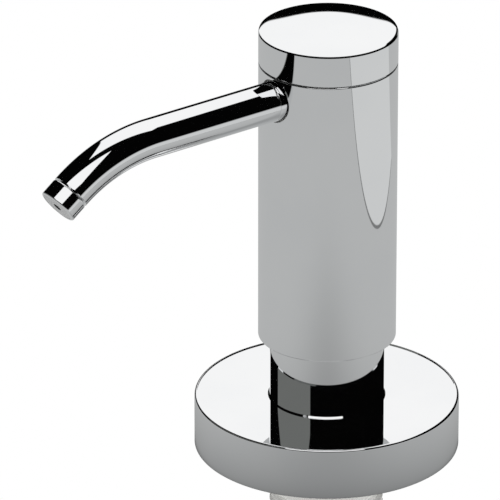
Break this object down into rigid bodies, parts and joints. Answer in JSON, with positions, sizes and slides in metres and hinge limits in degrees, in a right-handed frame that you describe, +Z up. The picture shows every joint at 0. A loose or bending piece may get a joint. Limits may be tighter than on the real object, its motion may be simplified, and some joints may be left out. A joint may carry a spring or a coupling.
{
  "type": "built-in soap dispenser",
  "caption": "Deck-mounted press soap dispenser: chromed swivelling head with a bent spout on a round cover, a piston pump, a clamped threaded shank and a screw-on bottle below.",
  "frame": {"origin": "centre of the deck opening, on the deck's top face, which is the plane of the cover's rim", "axes": "+Z up out of the deck along the head's axis, -Y along the spout, +X to the right of someone facing along +Y"},
  "size_m": [0.062, 0.1023, 0.272],
  "materials": {
    "chrome": "polished chrome plate",
    "white_plastic": "moulded white plastic",
    "grey_plastic": "moulded grey plastic",
    "black_rubber": "black rubber",
    "steel": "bright stainless steel",
    "milky_plastic": "translucent milky polyethylene"
  },
  "bodies": {
    "mount": {"rosette": "chrome", "deck_gasket": "black_rubber", "threaded_shank": "white_plastic", "neck_sleeve": "chrome", "pump_housing": "white_plastic", "pump_closure": "grey_plastic", "housing_o_ring": "black_rubber", "valve_cage": "grey_plastic", "return_spring": "steel", "dip_tube": "milky_plastic"},
    "plunger": {"pump_stem": "white_plastic", "piston": "grey_plastic", "piston_seal": "black_rubber"},
    "head": {"head_sleeve": "chrome", "guide_bush": "white_plastic", "spout_manifold": "white_plastic", "stem_o_ring": "black_rubber", "head_cap": "chrome", "spout_tube": "chrome", "spout_collar": "chrome", "spout_seal": "black_rubber", "delivery_hose": "milky_plastic", "outlet_cap": "chrome", "outlet_insert": "grey_plastic"},
    "inlet_valve": {"inlet_ball": "steel"},
    "outlet_valve": {"outlet_ball": "steel"},
    "clamp": {"clamp_gasket": "black_rubber", "clamp_washer": "steel"},
    "nut": {"lock_nut": "white_plastic"},
    "reservoir": {"bottle": "milky_plastic", "bottle_gasket": "black_rubber"}
  },
  "joints": [
    {"name": "head_press", "type": "slide", "parent": "mount", "child": "plunger", "axis": [0, 0, -1], "range_m": [0, 0.012], "stiffness_N_per_m": 600, "springref_m": -0.015, "deforming": ["return_spring"]},
    {"name": "head_swivel", "type": "hinge", "parent": "plunger", "child": "head", "pos_m": [0, 0, 0.0668], "axis": [0, 0, 1], "continuous": true},
    {"name": "inlet_lift", "type": "slide", "parent": "mount", "child": "inlet_valve", "axis": [0, 0, 1], "range_m": [0, 0.002]},
    {"name": "outlet_lift", "type": "slide", "parent": "plunger", "child": "outlet_valve", "axis": [0, 0, 1], "range_m": [0, 0.0015]},
    {"name": "clamp_slide", "type": "slide", "parent": "mount", "child": "clamp", "axis": [0, 0, 1], "range_m": [-0.005, 0.028]},
    {"name": "nut_turn", "type": "hinge", "parent": "clamp", "child": "nut", "pos_m": [0, 0, -0.03775], "axis": [0, 0, 1], "range_deg": [-905, 5045]},
    {"name": "bottle_off", "type": "slide", "parent": "mount", "child": "reservoir", "axis": [0, 0, -1], "range_m": [0, 0.13]}
  ],
  "couplings": [
    {"joint": "nut_turn", "follows": "clamp_slide", "rad_per_m": 3141.6}
  ]
}
